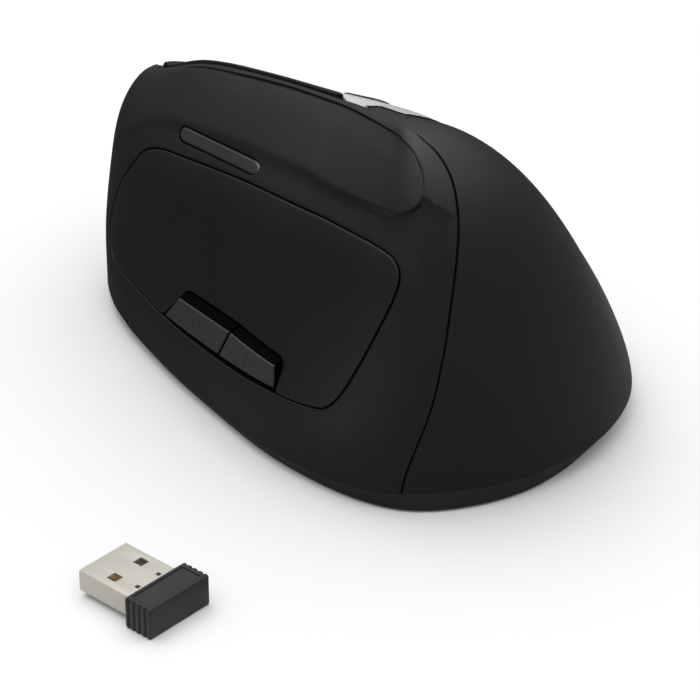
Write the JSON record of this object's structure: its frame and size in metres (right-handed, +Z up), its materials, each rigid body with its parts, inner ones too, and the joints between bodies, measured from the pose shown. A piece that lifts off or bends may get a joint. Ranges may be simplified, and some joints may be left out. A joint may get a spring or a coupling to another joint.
{
  "type": "vertical ergonomic mouse",
  "caption": "Upright wireless computer mouse for the right hand, with a tall thumb wall, sloped finger buttons, scroll wheel, side keys and a USB receiver beside it.",
  "frame": {"origin": "centre of the optical sensor on the desk plane, which is the centre of the footprint and of the glide ring", "axes": "+X to the user's right, +Y to the nose, +Z up; the thumb wall faces -X"},
  "size_m": [0.1348, 0.1214, 0.0692],
  "materials": {
    "soft_black": "soft-touch matt",
    "base_grey": "fine matt",
    "key_grey": "satin",
    "silver": "satin, metallised plastic",
    "gloss_black": "gloss",
    "smoked_lens": "gloss, smoked",
    "clear_plastic": "clear",
    "rubber": "matt, ribbed",
    "steel": "drawn",
    "nickel": "satin nickel plate",
    "white_plastic": "satin",
    "cell_wrap": "gloss wrap",
    "glide_black": "slick",
    "satin_black": "satin",
    "gold": "gold flash",
    "board_green": "lacquered",
    "inner_grey": "as moulded",
    "switch_black": "moulded"
  },
  "bodies": {
    "case": {"base_tray": "base_grey", "thumb_shell": "soft_black", "thumb_pad": "soft_black", "palm_shell": "soft_black", "finger_skirt": "soft_black", "silver_trim": "silver", "button_pins": "steel", "indicator_lens": "smoked_lens", "light_guide": "clear_plastic", "dpi_switch": "switch_black", "dpi_post": "inner_grey", "wheel_switch": "switch_black", "inner_frame": "inner_grey", "finger_board": "board_green", "index_switch": "switch_black", "middle_switch": "switch_black", "side_board": "board_green", "forward_switch": "switch_black", "back_switch": "switch_black", "main_board": "board_green", "board_spacers": "inner_grey", "board_parts": "switch_black", "sensor_chip": "switch_black", "sensor_lens": "clear_plastic", "power_switch": "steel", "battery_cradle": "inner_grey", "battery_front": "cell_wrap", "battery_rear": "cell_wrap", "battery_contacts": "nickel", "glide_feet": "glide_black", "sensor_ring": "glide_black", "case_screws": "steel"},
    "index": {"index_button": "soft_black", "index_lever": "inner_grey"},
    "middle": {"middle_button": "soft_black", "middle_lever": "inner_grey"},
    "forward": {"forward_button": "key_grey"},
    "back": {"back_button": "key_grey"},
    "speed": {"dpi_button": "gloss_black"},
    "wheel_carrier": {"wheel_cradle": "white_plastic", "wheel_encoder": "switch_black"},
    "wheel": {"wheel_hub": "gloss_black", "wheel_tyre": "rubber", "wheel_axle": "steel"},
    "power": {"power_knob": "white_plastic"},
    "door": {"battery_door": "base_grey"},
    "receiver": {"receiver_cap": "satin_black", "receiver_shell": "nickel", "receiver_tongue": "white_plastic", "receiver_contacts": "gold"}
  },
  "joints": [
    {"name": "index_press", "type": "hinge", "parent": "case", "child": "index", "pos_m": [-0.01324, -0.0019, 0.05568], "axis": [-0.6967, 0, 0.7173], "range_deg": [0, 0.6], "stiffness_Nm_per_rad": 2},
    {"name": "middle_press", "type": "hinge", "parent": "case", "child": "middle", "pos_m": [0.01532, -0.0019, 0.02627], "axis": [-0.6967, 0, 0.7173], "range_deg": [0, 0.6], "stiffness_Nm_per_rad": 2},
    {"name": "forward_press", "type": "slide", "parent": "case", "child": "forward", "axis": [1, 0, 0], "range_m": [0, 0.0006], "stiffness_N_per_m": 2500},
    {"name": "back_press", "type": "slide", "parent": "case", "child": "back", "axis": [1, 0, 0], "range_m": [0, 0.0006], "stiffness_N_per_m": 2500},
    {"name": "speed_press", "type": "slide", "parent": "case", "child": "speed", "axis": [-0.55, -0.2037, -0.8099], "range_m": [0, 0.0005], "stiffness_N_per_m": 3000},
    {"name": "wheel_press", "type": "slide", "parent": "case", "child": "wheel_carrier", "axis": [-0.7138, -0.0994, -0.6933], "range_m": [0, 0.0005], "stiffness_N_per_m": 4000},
    {"name": "wheel_turn", "type": "hinge", "parent": "wheel_carrier", "child": "wheel", "pos_m": [0.00178, 0.03467, 0.03491], "axis": [0.6967, 0, -0.7173], "continuous": true},
    {"name": "power_slide", "type": "slide", "parent": "case", "child": "power", "axis": [1, 0, 0], "range_m": [0, 0.003]},
    {"name": "door_release", "type": "slide", "parent": "case", "child": "door", "axis": [0, 0, -1], "range_m": [0, 0.01]},
    {"name": "receiver_lift", "type": "slide", "parent": "case", "child": "receiver", "axis": [0, 0, 1], "range_m": [0, 0.06]}
  ]
}
